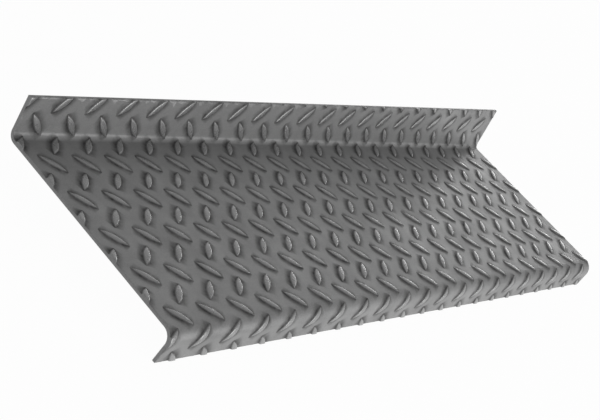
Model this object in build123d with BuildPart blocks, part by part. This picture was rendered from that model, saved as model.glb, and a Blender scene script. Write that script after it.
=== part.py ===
"""A stair tread pressed from one sheet of raised-lug steel floor plate.

The sheet has three flats: an upstand along the back, the tread, and a nosing along the front.
The lugs are rolled into the flat sheet before it is folded, so their rows run over both bends
and the sheared edges cut straight through them.

The underside of the tread is Z = 0, and X = 0 is the middle of its length.
Y = 0 is midway between the foot of the upstand and the front of the nosing, and +Y is the back.
Sizes are in millimetres and angles in degrees.
"""

from build123d import *
import os
from math import atan2, cos, radians, sin, sqrt, tan

# Sheet
sheet_thickness = 3.2
tread_length = 914.4
tread_run = 228.6
nosing_drop = 31.0
upstand_height_left = 38.5
upstand_height_right = 57.5
upstand_lean = 10.0
foot_radius = 6.0
nosing_radius = 10.0

# Lugs, in two families that lie square to each other, at 45 degrees to the sheet's edges
lug_length = 31.0
lug_width = 8.6
lug_straight = 11.0
lug_height = 1.4
lug_draft = 40.0
lug_root = 0.6
lug_ridge = 0.5

# Pattern: the distance between lugs of one family, and where its first whole lug stands
lug_pitch = 44.1
first_column = 22.5
first_row = 33.3

# Bends, on the lugged face: hollow at the back and proud at the front
fold_back = radians(90.0 - upstand_lean)
fold_front = radians(90.0)
radius_back = foot_radius
radius_front = nosing_radius + sheet_thickness
setback_back = radius_back * tan(fold_back / 2)
setback_front = radius_front * tan(fold_front / 2)
arc_back = radius_back * fold_back
arc_front = radius_front * fold_front

# The lugged face laid flat: distances forward from the foot of the upstand
tread_start = setback_back
tread_end = tread_run - setback_front
upstand_end = tread_start - arc_back
nosing_start = tread_end + arc_front
nosing_edge = nosing_start + nosing_drop - setback_front
upstand_edge = upstand_end + setback_back - max(upstand_height_left, upstand_height_right)

# Lug outline: straight along the middle, then narrowing to a point at each end
point_angle = atan2(lug_width, lug_length - lug_straight)
side_slope = tan(radians(lug_draft))
root_spread = lug_root * side_slope
crown_spread = -lug_height * side_slope

# The sheet is folded from a larger blank, which is then sheared to size
shear_margin = lug_length
foot_y = tread_run / 2


def surface_plane(run):
    """The plane that touches the lugged face at a developed distance from the foot."""
    if run < tread_start:
        angle = min((tread_start - run) / radius_back, fold_back)
        beyond = max(upstand_end - run, 0.0)
        bend = (foot_y - tread_start, sheet_thickness + radius_back)
        y = bend[0] + radius_back * sin(angle) + beyond * cos(angle)
        z = bend[1] - radius_back * cos(angle) + beyond * sin(angle)
    elif run > tread_end:
        angle = min((run - tread_end) / radius_front, fold_front)
        beyond = max(run - nosing_start, 0.0)
        bend = (foot_y - tread_end, sheet_thickness - radius_front)
        y = bend[0] - radius_front * sin(angle) - beyond * cos(angle)
        z = bend[1] + radius_front * cos(angle) - beyond * sin(angle)
    else:
        angle = 0.0
        y, z = foot_y - run, sheet_thickness
    return Plane(origin=(0, y, z), x_dir=(1, 0, 0), z_dir=(0, -sin(angle), cos(angle)))


def crossing_plane(run):
    """The plane square through the sheet there: its x runs along the tread, its y out of it."""
    surface = surface_plane(run)
    return Plane(origin=surface.origin, x_dir=surface.x_dir, z_dir=-surface.y_dir)


def outline_corners(spread):
    """A lug's half length, half straight length and half width, grown by spread all round."""
    point = lug_length / 2 + spread / sin(point_angle)
    shoulder = lug_straight / 2 + spread * tan(point_angle / 2)
    return point, shoulder, lug_width / 2 + spread


def point_reach(spread):
    """How far a lug's points reach forward and back of its centre."""
    return outline_corners(spread)[0] / sqrt(2)


def outline_crossing(run, spread):
    """Where one long side of a lug's outline crosses a line along the tread."""
    point, shoulder, half_width = outline_corners(spread)
    slope = half_width / (point - shoulder)
    diagonal = run * sqrt(2)
    along = diagonal - half_width
    if along > shoulder:
        along = (diagonal - slope * point) / (1 - slope)
    elif along < -shoulder:
        along = (diagonal - slope * point) / (1 + slope)
    return (2 * along - diagonal) / sqrt(2)


class LugOutline(BaseSketchObject):
    """The outline of a lug, grown by spread."""

    def __init__(self, spread=0.0, rotation=0.0, mode=Mode.ADD):
        point, shoulder, half_width = outline_corners(spread)
        with BuildSketch() as outline:
            with BuildLine():
                Polyline((-point, 0), (-shoulder, -half_width), (shoulder, -half_width), (point, 0))
                Polyline((point, 0), (shoulder, half_width), (-shoulder, half_width), (-point, 0))
            make_face()
        super().__init__(outline.sketch, rotation, None, mode)


def flat_row(run, turn, columns):
    """A row of lugs that stands on one of the flats."""
    with BuildPart() as row:
        with BuildSketch(surface_plane(run).offset(-lug_root)):
            with Locations([(x, 0) for x in columns]):
                LugOutline(root_spread, rotation=turn)
        extrude(amount=lug_root + lug_height, taper=lug_draft)
    return row.part


def lug_section(run, station, side):
    """A lug's cross-section along the tread, at a station forward of the lug's centre."""
    crown_point = point_reach(crown_spread)
    fall = lug_height / (point_reach(0.0) - crown_point)
    crown = max(-crown_point, min(station, crown_point))
    height = lug_height - abs(station - crown) * fall
    low, high = -outline_crossing(-crown, crown_spread), outline_crossing(crown, crown_spread)
    middle = (low + high) / 2 + station - crown
    half_crown = max(abs(high - low), lug_ridge) / 2
    root = (-outline_crossing(-station, root_spread), outline_crossing(station, root_spread))
    with BuildSketch(crossing_plane(run + station)) as section:
        with BuildLine():
            Polyline(
                (side * min(root), -lug_root),
                (side * max(root), -lug_root),
                (side * (middle + half_crown), height),
                (side * (middle - half_crown), height),
                close=True,
            )
        make_face()
    return section.sketch


def bent_row(run, turn, columns):
    """A row of lugs that follows a bend, each lofted through its cross-sections."""
    point, shoulder, half_width = outline_corners(crown_spread)
    ahead = [(shoulder + half_width) / sqrt(2), point / sqrt(2), point_reach(lug_root / 2 * side_slope)]
    stations = sorted([-place for place in ahead] + [0.0] + ahead)
    side = 1 if turn < 0 else -1
    with BuildPart() as lug:
        for station in stations:
            add(lug_section(run, station, side))
        loft(ruled=True)
    with BuildPart() as row:
        with Locations([(x, 0, 0) for x in columns]):
            add(lug.part)
    return row.part


def row_stands_flat(run):
    """Whether a row of lugs can stay straight.

    Its points may run into the hollow of the back bend, as far as their roots stay in the sheet.
    """
    reach = point_reach(root_spread)
    root_cover = sheet_thickness - lug_root
    run_in = sqrt(root_cover * (2 * (radius_back + sheet_thickness) - root_cover))
    clears_front = run + reach < tread_end or run - reach > nosing_start
    clears_back = run - reach > tread_start - run_in or run + reach < upstand_end + run_in
    return clears_front and clears_back


def lug_row(run, turn, columns):
    """A row of like lugs, at a developed distance from the foot."""
    if row_stands_flat(run):
        return flat_row(run, turn, columns)
    return bent_row(run, turn, columns)


def steps_between(first, low, high):
    """The members of a series one pitch apart that lie between two limits."""
    members = []
    place = first - lug_pitch * int((first - low) / lug_pitch)
    while place < high:
        members.append(place)
        place += lug_pitch
    return members


def lug_rows():
    """Every row of both families, on a blank that is larger than the tread."""
    half = tread_length / 2 + shear_margin / 2
    rows = []
    for shift, turn in ((0.0, -45.0), (lug_pitch / 2, 45.0)):
        columns = steps_between(first_column - tread_length / 2 + shift, -half, half)
        low, high = upstand_edge - shear_margin / 2, nosing_edge + shear_margin / 2
        for run in steps_between(first_row + shift, low, high):
            rows.append(lug_row(run, turn, columns))
    return rows


def folded_blank():
    """The plain folded sheet, before it is sheared to size."""
    top = max(upstand_height_left, upstand_height_right) + shear_margin
    foot = (foot_y, sheet_thickness)
    crest = (foot[0] + top * sin(radians(upstand_lean)), foot[1] + top * cos(radians(upstand_lean)))
    front = (-foot_y, sheet_thickness)
    with BuildPart() as blank:
        with BuildSketch(Plane.YZ):
            with BuildLine() as lugged_face:
                FilletPolyline(
                    crest,
                    foot,
                    front,
                    (front[0], sheet_thickness - nosing_drop - shear_margin),
                    radius=(radius_back, radius_front),
                )
                offset(amount=sheet_thickness, side=Side.LEFT)
            make_face()
        extrude(amount=tread_length / 2 + shear_margin, both=True)
    return blank.part


def sheared_envelope():
    """The space inside the four sheared edges: the upstand is taller at its right end."""
    lean = radians(upstand_lean)
    crests = []
    for x, height in ((-tread_length / 2, upstand_height_left), (tread_length / 2, upstand_height_right)):
        crests.append(Vector(x, foot_y + height * sin(lean), sheet_thickness + height * cos(lean)))
    along = crests[1] - crests[0]
    upper_edge = Plane(origin=crests[0], x_dir=along, z_dir=Vector(0, -cos(lean), sin(lean)).cross(along))
    lower_edge = Plane.XY.offset(sheet_thickness - nosing_drop)
    room = 2 * (tread_run + upstand_height_right + upstand_height_left)
    with BuildPart() as envelope:
        with BuildSketch(lower_edge):
            Rectangle(tread_length, room)
        extrude(amount=room)
        split(bisect_by=upper_edge, keep=Keep.BOTTOM)
    return envelope.part


blank = folded_blank()
rows = lug_rows()
envelope = sheared_envelope()

with BuildPart() as tread_plate:
    add(blank)
    add(rows)
    add(envelope, mode=Mode.INTERSECT)

tread_plate.part.label = "tread_plate"
os.makedirs("parts", exist_ok=True)
export_step(tread_plate.part, "parts/tread_plate.step")
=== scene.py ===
"""The finished look of a stair tread pressed from one sheet of raised-lug floor plate.

The sheet is drawn flat first, with every lug on it, then sheared to its outline and wrapped over its
two bends, so the lugs run over the bends and the sheared edges cut through them as on the real plate.
Flat drawings use X along the tread, Y backwards from the foot of the upstand and Z out of the sheet.
Everything is in metres and in the frame of the CAD model.
"""

import math

import bmesh
import bpy
from bpy.props import FloatProperty, FloatVectorProperty, PointerProperty
from mathutils import Matrix, Vector
from mathutils.geometry import delaunay_2d_cdt


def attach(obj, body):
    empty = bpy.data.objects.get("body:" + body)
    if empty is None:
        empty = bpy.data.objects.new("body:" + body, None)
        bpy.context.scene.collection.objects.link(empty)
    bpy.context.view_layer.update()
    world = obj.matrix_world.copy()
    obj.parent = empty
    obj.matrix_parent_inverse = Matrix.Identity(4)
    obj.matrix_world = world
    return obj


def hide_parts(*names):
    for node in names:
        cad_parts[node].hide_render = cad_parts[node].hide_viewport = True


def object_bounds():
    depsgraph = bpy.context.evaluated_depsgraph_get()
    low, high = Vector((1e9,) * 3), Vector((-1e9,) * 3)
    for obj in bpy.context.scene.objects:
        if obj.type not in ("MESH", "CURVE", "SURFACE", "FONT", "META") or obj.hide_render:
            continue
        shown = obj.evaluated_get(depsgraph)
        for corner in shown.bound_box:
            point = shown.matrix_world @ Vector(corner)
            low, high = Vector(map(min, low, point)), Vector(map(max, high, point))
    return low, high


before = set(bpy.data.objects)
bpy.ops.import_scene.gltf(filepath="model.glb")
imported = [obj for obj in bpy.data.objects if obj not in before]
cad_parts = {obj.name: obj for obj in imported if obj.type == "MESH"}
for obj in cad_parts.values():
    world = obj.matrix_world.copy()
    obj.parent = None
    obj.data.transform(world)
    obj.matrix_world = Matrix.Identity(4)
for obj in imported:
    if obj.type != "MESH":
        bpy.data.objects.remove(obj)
cad_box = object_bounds()

bl_info = {
    "name": "Raised-lug stair tread",
    "version": (1, 0, 0),
    "blender": (4, 5, 0),
    "location": "3D View > Sidebar > Stair Tread",
    "description": "Builds a folded stair tread of raised-lug steel plate and the stage it stands on",
    "category": "Object",
}

NODE = "tread_plate"
BODY = "root"

# How finely the sheet is drawn
STEPS_ROUND_LUG = 32
STEPS_ROUND_FOOT = 8
STEPS_ROUND_NOSING = 10
WELD_DISTANCE = 2e-5
SNAP_DISTANCE = 1e-5
SMOOTH_ANGLE = math.radians(45.0)

# A lug's profile from its outline inwards: the share of its flank, the share of its height, and
# how much dirt and painted shade lies there, most at the lug's foot
LUG_PROFILE = (
    (0.00, 0.000, 1.0),
    (0.25, 0.080, 0.9),
    (0.55, 0.500, 0.6),
    (0.85, 0.880, 0.15),
    (1.30, 0.975, 0.0),
)

# How far out the ridge of a lug runs, as a share of its crown, and the dirt and painted shade halfway to the
# next lug
RIDGE_REACH = 0.92
DIRT_AND_SHADE_BETWEEN = 0.15

# Noise sizes of the steel, in waves per metre, and how its marks are mixed
PATCH_SCALE = 22.0
GRAIN_SCALE = 900.0
STREAK_SCALE = (9.0, 420.0, 420.0)
WEAR_SCALE = 140.0
DENT_SCALE = 7.0
PATCH_IN_TONE = 0.65
GRAIN_IN_RELIEF = 0.35
SPECKLE = 0.12
METAL_SHARE = 0.5
GLOSS_ON_CROWN = 0.26
DULLING_AT_LUG_FEET = 0.2
FINE_RELIEF = 0.00012
DENT_RELIEF = 0.0015

# Where the lamps stand, the point they face and their size
WINDOW_LAMP = {"place": (4.0, 1.25, 0.45), "target": (0.0, 0.0, 0.0), "size": (1.8, 0.5)}
FRONT_LAMP = {"place": (1.0, -2.4, 0.6), "target": (0.3, 0.0, 0.0), "size": (1.8, 1.2)}

# The sky dims between these two heights, each the sine of an angle above the floor
SKY_DIMS_FROM = 0.24
SKY_DIMS_TO = 0.5
FLOOR_WHITENESS = 0.97

# The point that the camera looks at, and its angles
VIEW_TARGET = (-0.1117, 0.0167, 0.0)
VIEW_AZIMUTH = math.radians(-67.17)
VIEW_ELEVATION = math.radians(22.115)
VIEW_ROLL = math.radians(38.94)
SENSOR_WIDTH = 36.0

CROWN = "lug_crown"
ROOT = "lug_root"
SHEARED = "sheared"


def metres(name, description, default):
    """A length that a user can change."""
    return FloatProperty(name=name, description=description, default=default, min=0.0, unit="LENGTH")


def share(name, description, default):
    """A number from 0 to 1 that a user can change."""
    return FloatProperty(
        name=name, description=description, default=default, min=0.0, max=1.0, subtype="FACTOR"
    )


def colour(name, description, grey, warmth=0.0):
    """A near-grey surface colour that a user can change."""
    return FloatVectorProperty(
        name=name,
        description=description,
        default=(grey * (1 + warmth), grey, grey * (1 - warmth)),
        subtype="COLOR",
        size=3,
        min=0.0,
        max=1.0,
    )


class SheetSizes(bpy.types.PropertyGroup):
    """Sizes of the folded sheet."""

    thickness: metres("Thickness", "Thickness of the plain sheet", 0.0032)
    length: metres("Length", "Length along the stair's width", cad_box[1][0] - cad_box[0][0])
    run: metres("Run", "From the foot of the upstand to the front of the nosing", 0.2286)
    nosing_drop: metres("Nosing drop", "Height of the nosing", 0.031)
    upstand_left: metres("Upstand, left", "Length of the upstand at its left end", 0.0385)
    upstand_right: metres("Upstand, right", "Length of the upstand at its right end", 0.0575)
    upstand_lean: FloatProperty(
        name="Upstand lean",
        description="How far the upstand leans back from upright",
        default=math.radians(10.0),
        subtype="ANGLE",
    )
    foot_radius: metres("Foot radius", "Inside radius of the bend at the upstand", 0.006)
    nosing_radius: metres("Nosing radius", "Inside radius of the bend at the nosing", 0.010)
    edge_roll: metres("Edge roll", "How far shearing rolls the upper edge over", 0.0003)


class LugSizes(bpy.types.PropertyGroup):
    """Sizes and places of the lugs."""

    length: metres("Length", "Length of a lug from point to point", 0.031)
    width: metres("Width", "Width of a lug at its middle", 0.0086)
    height: metres("Height", "Height of a lug's crown above the sheet", 0.00138)
    flank: metres("Flank", "How far in from its outline a lug's side reaches", 0.0016)
    dome: share("Dome", "How far a lug's crown falls towards its points", 0.65)
    pitch: metres("Pitch", "Distance between lugs of one family", 0.0441)
    first_column: metres("First column", "From the left end to the first whole lug", 0.0225)
    first_row: metres("First row", "From the foot of the upstand to the first row on the tread", 0.0333)


class SteelFinish(bpy.types.PropertyGroup):
    """Colours and gloss of the rolled steel."""

    scale: colour("Mill scale", "Plain rolled surface where the scale is whole", 0.235)
    bare: colour("Bare steel", "Rolled surface where the scale has worn thin", 0.335)
    crown: colour("Worn crown", "Top of a lug, rubbed by feet and handling", 0.36)
    # Near-black colour round each lug's foot: partly dirt, partly painted shade in the crease and on the
    # flanks
    dirt_and_shade: colour("Dirt and shade", "Dirt held round the foot of a lug", 0.02, 0.04)
    sheared: colour("Sheared edge", "Bright face left by the shear", 0.22)
    roughness: share("Roughness", "Roughness of the plain rolled surface", 0.42)


class StageLook(bpy.types.PropertyGroup):
    """Floor, light and camera."""

    floor_size: metres("Floor size", "Side of the floor", 16.0)
    floor_colour: colour("Floor", "Colour of the floor", 0.92)
    sky_low: share("Sky at the horizon", "Brightness of the studio near the floor", 0.8)
    sky_high: share("Sky overhead", "Brightness of the studio overhead", 0.384)
    window_power: FloatProperty(
        name="Window power", description="Power of the low window light", default=12.0, unit="POWER"
    )
    front_power: FloatProperty(
        name="Front power", description="Power of the soft front light", default=19.0, unit="POWER"
    )
    lens: FloatProperty(name="Lens", description="Focal length", default=90.06, unit="CAMERA")
    view_distance: metres("View distance", "From the camera to the point it looks at", 1.5057)


GROUPS = {
    "tread_sheet": SheetSizes,
    "tread_lugs": LugSizes,
    "tread_finish": SteelFinish,
    "tread_stage": StageLook,
}


class FlatPattern:
    """The lugged face laid flat: where its bends and edges lie, forward of the upstand's foot."""

    def __init__(self, sheet):
        self.foot_y = sheet.run / 2
        self.thickness = sheet.thickness
        self.half_length = sheet.length / 2
        self.fold_back = math.pi / 2 - sheet.upstand_lean
        self.fold_front = math.pi / 2
        self.radius_back = sheet.foot_radius
        self.radius_front = sheet.nosing_radius + sheet.thickness
        setback_back = self.radius_back * math.tan(self.fold_back / 2)
        setback_front = self.radius_front * math.tan(self.fold_front / 2)
        self.tread_start = setback_back
        self.tread_end = sheet.run - setback_front
        self.upstand_end = self.tread_start - self.radius_back * self.fold_back
        self.nosing_start = self.tread_end + self.radius_front * self.fold_front
        self.nosing_edge = self.nosing_start + sheet.nosing_drop - setback_front
        upstand_foot = self.upstand_end + setback_back
        self.upstand_edge_left = upstand_foot - sheet.upstand_left
        self.upstand_edge_right = upstand_foot - sheet.upstand_right
        self.upstand_end_reach = self.upstand_end - min(self.upstand_edge_left, self.upstand_edge_right)

    def folded(self, point):
        """Where a point of the flat drawing goes when the sheet is folded."""
        run = -point.y
        if run < self.tread_start:
            angle = min((self.tread_start - run) / self.radius_back, self.fold_back)
            beyond = max(self.upstand_end - run, 0.0)
            y = self.foot_y - self.tread_start + self.radius_back * math.sin(angle)
            z = self.thickness + self.radius_back * (1 - math.cos(angle))
            y += beyond * math.cos(angle)
            z += beyond * math.sin(angle)
        elif run > self.tread_end:
            angle = min((run - self.tread_end) / self.radius_front, self.fold_front)
            beyond = max(run - self.nosing_start, 0.0)
            y = self.foot_y - self.tread_end - self.radius_front * math.sin(angle)
            z = self.thickness - self.radius_front * (1 - math.cos(angle))
            y -= beyond * math.cos(angle)
            z -= beyond * math.sin(angle)
        else:
            angle, y, z = 0.0, self.foot_y - run, self.thickness
        return Vector((point.x, y - point.z * math.sin(angle), z + point.z * math.cos(angle)))

    def bend_lines(self):
        """The lines across the sheet that divide its two bends into short flats."""
        lines = []
        for start, end, steps in (
            (self.upstand_end, self.tread_start, STEPS_ROUND_FOOT),
            (self.tread_end, self.nosing_start, STEPS_ROUND_NOSING),
        ):
            lines += [start + (end - start) * step / steps for step in range(steps + 1)]
        return lines

    def flats(self):
        """Where each flat of the sheet starts and ends, as far as it runs the whole length."""
        upper = max(self.upstand_edge_left, self.upstand_edge_right)
        return (
            (upper, self.upstand_end),
            (self.tread_start, self.tread_end),
            (self.nosing_start, self.nosing_edge),
        )

    def straightened(self, place):
        """A place moved so that the upstand's sloping edge runs level, with each edge exactly straight."""
        along, back = place
        beyond = back + self.upstand_end
        if beyond > 0:
            across = (along + self.half_length) / (2 * self.half_length)
            edge = self.upstand_edge_left + (self.upstand_edge_right - self.upstand_edge_left) * across
            back = -self.upstand_end + beyond * self.upstand_end_reach / (self.upstand_end - edge)
        for edge in (-self.half_length, self.half_length):
            if abs(along - edge) < WELD_DISTANCE:
                along = edge
        for edge in (-self.nosing_edge, self.upstand_end_reach - self.upstand_end):
            if abs(back - edge) < WELD_DISTANCE:
                back = edge
        return Vector((along, back))

    def sheared_edges(self):
        """A point on each edge of the flat drawing, and the direction out of the sheet there."""
        left = Vector((-self.half_length, -self.upstand_edge_left, 0))
        right = Vector((self.half_length, -self.upstand_edge_right, 0))
        along = right - left
        return (
            (left, Vector((-1, 0, 0))),
            (right, Vector((1, 0, 0))),
            (left, Vector((-along.y, along.x, 0)).normalized()),
            (Vector((0, -self.nosing_edge, 0)), Vector((0, -1, 0))),
        )


def square_ring(half_side):
    """Points round a lug's square cell, from the middle of the side ahead of the lug's point."""
    per_half_side = STEPS_ROUND_LUG // 8
    ring = []
    for step in range(STEPS_ROUND_LUG):
        place = step / per_half_side
        if place <= 1:
            point = (1, place)
        elif place <= 3:
            point = (2 - place, 1)
        elif place <= 5:
            point = (-1, 4 - place)
        elif place <= 7:
            point = (place - 6, -1)
        else:
            point = (1, place - 8)
        ring.append((point[0] * half_side, point[1] * half_side))
    return ring


def lens_ring(lugs, inset):
    """Points round a lug's lens-shaped outline, drawn inset by a distance all round."""
    half_length, half_width = lugs.length / 2, lugs.width / 2
    radius = (half_length**2 + half_width**2) / (2 * half_width)
    centre_offset = radius - half_width
    reach = math.sqrt((radius - inset) ** 2 - centre_offset**2)
    half_ring = STEPS_ROUND_LUG // 2
    ring = []
    for step in range(STEPS_ROUND_LUG):
        side = 1 if step <= half_ring else -1
        place = (step if step <= half_ring else STEPS_ROUND_LUG - step) / half_ring
        along = reach * (math.cos(math.pi * place) + 1 - 2 * place) / 2
        across = math.sqrt(max((radius - inset) ** 2 - along**2, 0.0)) - centre_offset
        ring.append((along, side * max(across, 0.0)))
    return ring


def domed_height(lugs, along):
    """The height of a lug's crown at a distance from its middle."""
    return lugs.height * (1 - lugs.dome * min(abs(along) / (lugs.length / 2), 1.0) ** 2)


def lug_cell(lugs):
    """One lug on its own square of plate: its points, each with its crown share and its share of dirt and
    painted shade, and faces.
    """
    square = square_ring(lugs.pitch / math.sqrt(8))
    outline = lens_ring(lugs, 0.0)
    between = [((a[0] + b[0]) / 2, (a[1] + b[1]) / 2) for a, b in zip(square, outline)]
    # Each ring holds its points, its height share and its share of dirt and painted shade
    rings = [(square, 0.0, 0.0), (between, 0.0, DIRT_AND_SHADE_BETWEEN)]
    rings += [(lens_ring(lugs, lugs.flank * inset), height, dirt_and_shade) for inset, height, dirt_and_shade in LUG_PROFILE]
    points, faces = [], []
    for ring, height, dirt_and_shade in rings:
        for along, across in ring:
            rise = height * domed_height(lugs, along)
            points.append(((along, across, rise), height, dirt_and_shade))
    count = STEPS_ROUND_LUG
    for ring in range(len(rings) - 1):
        for step in range(count):
            ahead = (step + 1) % count
            outer, inner = ring * count, (ring + 1) * count
            faces.append((outer + step, outer + ahead, inner + ahead, inner + step))
    ridge_start = len(points)
    half_ring = count // 2
    last = rings[-1][0]
    for step in range(half_ring + 1):
        along = last[step][0] * RIDGE_REACH
        points.append(((along, 0.0, domed_height(lugs, along)), 1.0, 0.0))
    inner = (len(rings) - 1) * count
    for step in range(count):
        ahead = (step + 1) % count
        ridge = [min(place, count - place) + ridge_start for place in (step, step + 1)]
        faces.append((inner + step, inner + ahead, ridge[1], ridge[0]))
    return points, faces


def lug_places(pattern, lugs):
    """The middle and turn of every lug on a blank that is a little larger than the sheet."""
    margin = lugs.pitch / 2
    back = -min(pattern.upstand_edge_left, pattern.upstand_edge_right)
    places = []
    for shift, turn in ((0.0, -math.pi / 4), (lugs.pitch / 2, math.pi / 4)):
        first_along = lugs.first_column - pattern.half_length + shift
        first_back = -(lugs.first_row + shift)
        columns = series(first_along, lugs.pitch, -pattern.half_length - margin, pattern.half_length + margin)
        rows = series(first_back, lugs.pitch, -pattern.nosing_edge - margin, back + margin)
        places += [(along, row, turn) for row in rows for along in columns]
    return places


def series(first, pitch, low, high):
    """The members of an even series that lie between two limits."""
    start = math.ceil((low - first) / pitch)
    end = math.floor((high - first) / pitch)
    return [first + pitch * step for step in range(start, end + 1)]


def lugged_blank(pattern, lugs):
    """The flat drawing of the lugged face, larger than the sheet on every side."""
    cell_points, cell_faces = lug_cell(lugs)
    points, faces, crowns, roots = [], [], [], []
    for along, back, turn in lug_places(pattern, lugs):
        first = len(points)
        cosine, sine = math.cos(turn), math.sin(turn)
        for (a, b, height), crown, root in cell_points:
            points.append((along + a * cosine - b * sine, back + a * sine + b * cosine, height))
            crowns.append(crown)
            roots.append(root)
        faces += [tuple(first + corner for corner in face) for face in cell_faces]
    mesh = bpy.data.meshes.new("lugged_blank")
    mesh.from_pydata(points, [], faces)
    # The lug_root attribute keeps each point's share of dirt and painted shade
    for name, values in ((CROWN, crowns), (ROOT, roots)):
        mesh.attributes.new(name, "FLOAT", "POINT").data.foreach_set("value", values)
    blank = bmesh.new()
    blank.from_mesh(mesh)
    bpy.data.meshes.remove(mesh)
    bmesh.ops.remove_doubles(blank, verts=blank.verts, dist=WELD_DISTANCE)
    return blank


def cut(drawing, point, direction, clear):
    """Cuts the flat drawing along a line, and clears what lies beyond it if asked."""
    everything = drawing.verts[:] + drawing.edges[:] + drawing.faces[:]
    bmesh.ops.bisect_plane(
        drawing,
        geom=everything,
        dist=SNAP_DISTANCE,
        plane_co=point,
        plane_no=direction,
        clear_outer=clear,
    )


def outline_loop(drawing):
    """The corners of the drawing's outer edge, in order and anticlockwise from above."""
    edges = [edge for edge in drawing.edges if edge.is_boundary]
    neighbours = {}
    for edge in edges:
        first, second = edge.verts
        neighbours.setdefault(first, []).append(second)
        neighbours.setdefault(second, []).append(first)
    loop = [edges[0].verts[0]]
    while True:
        onward = [vert for vert in neighbours[loop[-1]] if len(loop) < 2 or vert is not loop[-2]]
        if onward[0] is loop[0]:
            break
        loop.append(onward[0])
    if len(loop) != len(edges):
        raise RuntimeError("the sheet's edge is not one closed loop")
    area = sum(a.co.x * b.co.y - b.co.x * a.co.y for a, b in zip(loop, loop[1:] + loop[:1]))
    return loop if area > 0 else loop[::-1]


def close_sheet(drawing, pattern, lugs, edge_roll):
    """Adds the sheared edge faces and the plain underside to the lugged face."""
    sheared = drawing.faces.layers.float.new(SHEARED)
    loop = outline_loop(drawing)
    below = []
    for vert in loop:
        below.append(drawing.verts.new((vert.co.x, vert.co.y, -pattern.thickness)))
        vert.co.z -= edge_roll
    for step in range(len(loop)):
        behind = step - 1
        face = drawing.faces.new((loop[step], loop[behind], below[behind], below[step]))
        face[sheared] = 1.0

    places = [vert.co.to_2d() for vert in loop]
    lines = []
    spacing = lugs.pitch / 2
    limit = pattern.half_length - spacing / 2
    columns = series(0.0, spacing, -limit, limit)
    for line in pattern.bend_lines():
        ends = [step for step in range(len(loop)) if abs(places[step].y + line) < SNAP_DISTANCE]
        left, right = min(ends, key=lambda end: places[end].x), max(ends, key=lambda end: places[end].x)
        first = len(places)
        places += [Vector((along, -line)) for along in columns]
        route = [left, *range(first, len(places)), right]
        lines += list(zip(route, route[1:]))
    for low, high in pattern.flats():
        rows = series(0.0, spacing, low + spacing / 3, high - spacing / 3)
        places += [Vector((along, -row)) for row in rows for along in columns]

    straight = [pattern.straightened(place) for place in places]
    rim = list(range(len(loop)))
    found_places, _, found_faces, sources, _, _ = delaunay_2d_cdt(straight, lines, [rim], 1, 0.0, True)
    made = []
    for source in sources:
        place = places[source[0]]
        made.append(
            below[source[0]] if source[0] < len(loop) else drawing.verts.new((*place, -pattern.thickness))
        )
    for face in found_faces:
        drawing.faces.new([made[corner] for corner in reversed(face)])


def folded_sheet_mesh(sheet, lugs):
    """The finished sheet: drawn flat, sheared, closed and wrapped over its bends."""
    pattern = FlatPattern(sheet)
    drawing = lugged_blank(pattern, lugs)
    edges = pattern.sheared_edges()
    for point, direction in edges:
        cut(drawing, point, direction, True)
    for point, direction in edges:
        cut(drawing, point - direction * sheet.edge_roll, direction, False)
    for line in pattern.bend_lines():
        cut(drawing, Vector((0, -line, 0)), Vector((0, 1, 0)), False)
    bmesh.ops.remove_doubles(drawing, verts=drawing.verts, dist=WELD_DISTANCE)
    close_sheet(drawing, pattern, lugs, sheet.edge_roll)
    for vert in drawing.verts:
        vert.co = pattern.folded(vert.co)
    drawing.normal_update()
    if any(not edge.is_manifold for edge in drawing.edges):
        raise RuntimeError("the folded sheet is not closed")
    mesh = bpy.data.meshes.new("folded_sheet")
    drawing.to_mesh(mesh)
    drawing.free()
    mesh.shade_smooth()
    mesh.set_sharp_from_angle(angle=SMOOTH_ANGLE)
    return mesh


class NodeSheet:
    """A small helper that adds shader nodes and links them."""

    def __init__(self, tree):
        self.tree = tree
        tree.nodes.clear()

    def add(self, kind, settings=None, **inputs):
        """Adds a node, sets its settings, and sets or links its inputs by name or number."""
        node = self.tree.nodes.new(kind)
        for name, value in (settings or {}).items():
            setattr(node, name, value)
        for name, value in inputs.items():
            socket = node.inputs[int(name[1:])] if name[0] == "n" and name[1:].isdigit() else None
            if socket is None:
                socket = node.inputs[name.replace("_", " ")]
            if isinstance(value, bpy.types.NodeSocket):
                self.tree.links.new(value, socket)
            else:
                socket.default_value = value
        return node

    def noise(self, place, scale, detail, roughness=0.5):
        """Soft noise from 0 to 1."""
        node = self.add(
            "ShaderNodeTexNoise", Vector=place, Scale=scale, Detail=detail, Roughness=roughness
        )
        return node.outputs["Fac"]

    def stretched(self, place, scale):
        """Coordinates scaled differently along each axis."""
        return self.add("ShaderNodeMapping", Vector=place, Scale=scale).outputs[0]

    def math(self, operation, first, second=0.0):
        """One sum on one or two numbers."""
        return self.add("ShaderNodeMath", {"operation": operation}, n0=first, n1=second).outputs[0]

    def weighted(self, first, second, share_of_first):
        """The sum of two numbers, each in its share."""
        part = self.math("MULTIPLY", first, share_of_first)
        return self.math("ADD", part, self.math("MULTIPLY", second, 1.0 - share_of_first))

    def remap(self, value, low, high, new_low=0.0, new_high=1.0):
        """A number moved from one range to another and held inside it."""
        node = self.add("ShaderNodeMapRange", n0=value, n1=low, n2=high, n3=new_low, n4=new_high)
        return node.outputs[0]

    def blend(self, factor, first, second):
        """A mix of two colours."""
        node = self.add("ShaderNodeMix", {"data_type": "RGBA"}, n0=factor, n6=first, n7=second)
        return node.outputs[2]

    def attribute(self, name):
        """A number kept on the mesh."""
        return self.add("ShaderNodeAttribute", {"attribute_name": name}).outputs["Fac"]


def rgba(values):
    """A colour with full alpha."""
    return (*values, 1.0)


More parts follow.
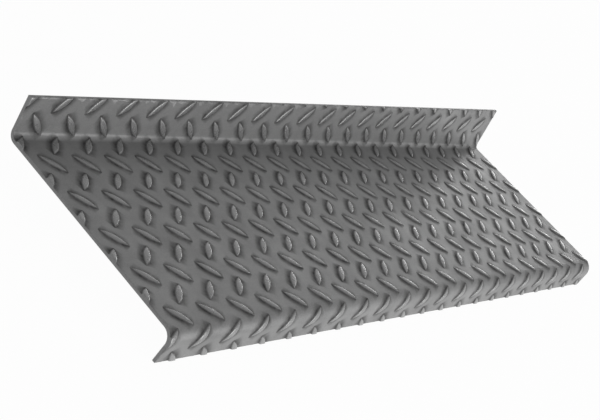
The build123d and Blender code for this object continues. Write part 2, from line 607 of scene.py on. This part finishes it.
def rolled_steel(finish):
    """Dull rolled steel: patchy mill scale, rubbed lug crowns, dirt and painted shade round the lugs, sheared
    edges.
    """
    material = bpy.data.materials.new("dull_rolled_steel")
    material.use_nodes = True
    sheet = NodeSheet(material.node_tree)
    place = sheet.add("ShaderNodeTexCoord").outputs["Object"]
    crown, root, sheared = (sheet.attribute(name) for name in (CROWN, ROOT, SHEARED))

    patches = sheet.noise(place, PATCH_SCALE, 6.0, 0.62)
    grain = sheet.noise(place, GRAIN_SCALE, 3.0, 0.6)
    streaks = sheet.noise(sheet.stretched(place, STREAK_SCALE), 1.0, 4.0, 0.6)
    wear = sheet.noise(place, WEAR_SCALE, 4.0, 0.6)

    tone = sheet.remap(patches, 0.32, 0.68)
    tone = sheet.weighted(tone, streaks, PATCH_IN_TONE)
    steel = sheet.blend(tone, rgba(finish.scale), rgba(finish.bare))
    rubbed = sheet.math("MULTIPLY", sheet.remap(crown, 0.6, 1.0), sheet.remap(wear, 0.3, 0.62, 0.25, 0.9))
    steel = sheet.blend(rubbed, steel, rgba(finish.crown))
    # Dirt and painted shade: a near-black colour darkens the steel round each lug's foot and up its flanks,
    # thinned where the wear noise is high
    dirt_and_shade_mask = sheet.math("MULTIPLY", sheet.remap(root, 0.1, 1.0), sheet.remap(wear, 0.3, 0.7, 1.0, 0.45))
    steel = sheet.blend(dirt_and_shade_mask, steel, rgba(finish.dirt_and_shade))
    steel = sheet.blend(sheared, steel, rgba(finish.sheared))
    speckle = sheet.remap(grain, 0.3, 0.7, 1.0 - SPECKLE, 1.0 + SPECKLE)
    steel = sheet.add("ShaderNodeVectorMath", {"operation": "SCALE"}, n0=steel, Scale=speckle).outputs[0]

    gloss = sheet.remap(patches, 0.3, 0.7, finish.roughness + 0.06, finish.roughness - 0.05)
    gloss = sheet.math("SUBTRACT", gloss, sheet.math("MULTIPLY", rubbed, GLOSS_ON_CROWN))
    gloss = sheet.math("ADD", gloss, sheet.math("MULTIPLY", dirt_and_shade_mask, DULLING_AT_LUG_FEET))

    height = sheet.weighted(grain, streaks, GRAIN_IN_RELIEF)
    bump = sheet.add("ShaderNodeBump", Strength=0.35, Distance=FINE_RELIEF, Height=height)
    dents = sheet.noise(place, DENT_SCALE, 2.0)
    bump = sheet.add(
        "ShaderNodeBump", Strength=0.5, Distance=DENT_RELIEF, Height=dents, Normal=bump.outputs[0]
    )
    surface = sheet.add(
        "ShaderNodeBsdfPrincipled",
        Base_Color=steel,
        Metallic=METAL_SHARE,
        Roughness=gloss,
        Normal=bump.outputs[0],
    )
    sheet.add("ShaderNodeOutputMaterial", Surface=surface.outputs[0])
    return material


def floor_paint(look):
    """Pale studio floor that stays pale in the picture and keeps the object's shadow."""
    material = bpy.data.materials.new("pale_floor")
    material.use_nodes = True
    sheet = NodeSheet(material.node_tree)
    rays = sheet.add("ShaderNodeLightPath").outputs
    seen = sheet.math("MAXIMUM", rays["Is Camera Ray"], rays["Is Glossy Ray"])
    seen = sheet.math("MAXIMUM", seen, rays["Is Transmission Ray"])
    matt = sheet.add("ShaderNodeBsdfDiffuse", Color=rgba(look.floor_colour))
    white = sheet.add("ShaderNodeEmission", Strength=1.0)
    mixed = sheet.add(
        "ShaderNodeMixShader",
        n0=sheet.math("MULTIPLY", seen, FLOOR_WHITENESS),
        n1=matt.outputs[0],
        n2=white.outputs[0],
    )
    sheet.add("ShaderNodeOutputMaterial", Surface=mixed.outputs[0])
    return material


def studio_sky(look):
    """A soft studio surround, pale near the floor and dimmer overhead."""
    world = bpy.data.worlds.new("studio")
    world.use_nodes = True
    sheet = NodeSheet(world.node_tree)
    direction = sheet.add("ShaderNodeTexCoord").outputs["Generated"]
    height = sheet.add("ShaderNodeSeparateXYZ", Vector=direction).outputs[2]
    brightness = sheet.remap(height, SKY_DIMS_FROM, SKY_DIMS_TO, look.sky_low, look.sky_high)
    seen = sheet.add("ShaderNodeLightPath").outputs["Is Camera Ray"]
    brightness = sheet.math("MAXIMUM", brightness, seen)
    background = sheet.add("ShaderNodeBackground", Color=rgba((1.0, 1.0, 1.0)), Strength=brightness)
    sheet.add("ShaderNodeOutputWorld", Surface=background.outputs[0])
    return world


def aimed(place, target):
    """A placing matrix for a lamp that stands at a place and points at a target."""
    turn = (Vector(target) - Vector(place)).to_track_quat("-Z", "Y")
    return Matrix.Translation(place) @ turn.to_matrix().to_4x4()


def soft_lamp(name, place, target, size, power):
    """A large rectangular soft light."""
    lamp = bpy.data.lights.new(name, "AREA")
    lamp.shape = "RECTANGLE"
    lamp.size, lamp.size_y = size
    lamp.energy = power
    holder = bpy.data.objects.new(name, lamp)
    bpy.context.scene.collection.objects.link(holder)
    holder.matrix_world = aimed(place, target)


def place_camera(look):
    """The camera of the photograph: near the left end, above the tread, and rolled to one side."""
    target = Vector(VIEW_TARGET)
    azimuth, elevation, roll = VIEW_AZIMUTH, VIEW_ELEVATION, VIEW_ROLL
    forward = Vector(
        (
            -math.cos(elevation) * math.sin(azimuth),
            math.cos(elevation) * math.cos(azimuth),
            -math.sin(elevation),
        )
    )
    level = forward.cross(Vector((0, 0, 1))).normalized()
    upright = level.cross(forward)
    right = level * math.cos(roll) + upright * math.sin(roll)
    up = right.cross(forward)
    camera = bpy.data.cameras.new("camera")
    camera.sensor_width = SENSOR_WIDTH
    camera.lens = look.lens
    holder = bpy.data.objects.new("camera", camera)
    bpy.context.scene.collection.objects.link(holder)
    turn = Matrix((right, up, -forward)).transposed().to_4x4()
    holder.matrix_world = Matrix.Translation(target - forward * look.view_distance) @ turn
    bpy.context.scene.camera = holder


class TREAD_OT_folded_sheet(bpy.types.Operator):
    """Build the lugged sheet with its upstand, tread and nosing"""

    bl_idname = "tread.folded_sheet"
    bl_label = "Folded sheet"

    def execute(self, context):
        scene = context.scene
        mesh = folded_sheet_mesh(scene.tread_sheet, scene.tread_lugs)
        mesh.materials.append(rolled_steel(scene.tread_finish))
        piece = bpy.data.objects.new("folded_sheet", mesh)
        scene.collection.objects.link(piece)
        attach(piece, BODY)
        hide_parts(NODE)
        return {"FINISHED"}


class TREAD_OT_stage(bpy.types.Operator):
    """Set up the floor, the light and the camera"""

    bl_idname = "tread.stage"
    bl_label = "Stage"

    def execute(self, context):
        scene = context.scene
        look = scene.tread_stage
        level, half = cad_box[0][2], look.floor_size / 2
        drawing = bmesh.new()
        corners = ((-half, -half), (half, -half), (half, half), (-half, half))
        drawing.faces.new([drawing.verts.new((x, y, level)) for x, y in corners])
        mesh = bpy.data.meshes.new("floor")
        drawing.to_mesh(mesh)
        drawing.free()
        mesh.materials.append(floor_paint(look))
        floor = bpy.data.objects.new("floor", mesh)
        scene.collection.objects.link(floor)
        scene.world = studio_sky(look)
        soft_lamp("window", power=look.window_power, **WINDOW_LAMP)
        soft_lamp("front", power=look.front_power, **FRONT_LAMP)
        scene.view_settings.view_transform = "Standard"
        place_camera(look)
        return {"FINISHED"}


class TREAD_PT_panel(bpy.types.Panel):
    """Lists the tread's sizes and its build steps"""

    bl_idname = "TREAD_PT_panel"
    bl_label = "Stair Tread"
    bl_space_type = "VIEW_3D"
    bl_region_type = "UI"
    bl_category = "Stair Tread"

    def draw(self, context):
        for name, group in GROUPS.items():
            box = self.layout.box()
            for field in group.__annotations__:
                box.prop(getattr(context.scene, name), field)
        for operator in OPERATORS:
            self.layout.operator(operator.bl_idname)


OPERATORS = (TREAD_OT_folded_sheet, TREAD_OT_stage)
CLASSES = (*GROUPS.values(), *OPERATORS, TREAD_PT_panel)


def register():
    """Adds the classes and their settings."""
    for item in CLASSES:
        bpy.utils.register_class(item)
    for name, group in GROUPS.items():
        setattr(bpy.types.Scene, name, PointerProperty(type=group))


def unregister():
    """Takes the classes and their settings away."""
    for name in GROUPS:
        delattr(bpy.types.Scene, name)
    for item in reversed(CLASSES):
        bpy.utils.unregister_class(item)


def main():
    """Builds the tread and its stage."""
    register()
    bpy.ops.tread.folded_sheet()
    bpy.ops.tread.stage()
    bpy.context.view_layer.update()


if __name__ == "__main__":
    main()
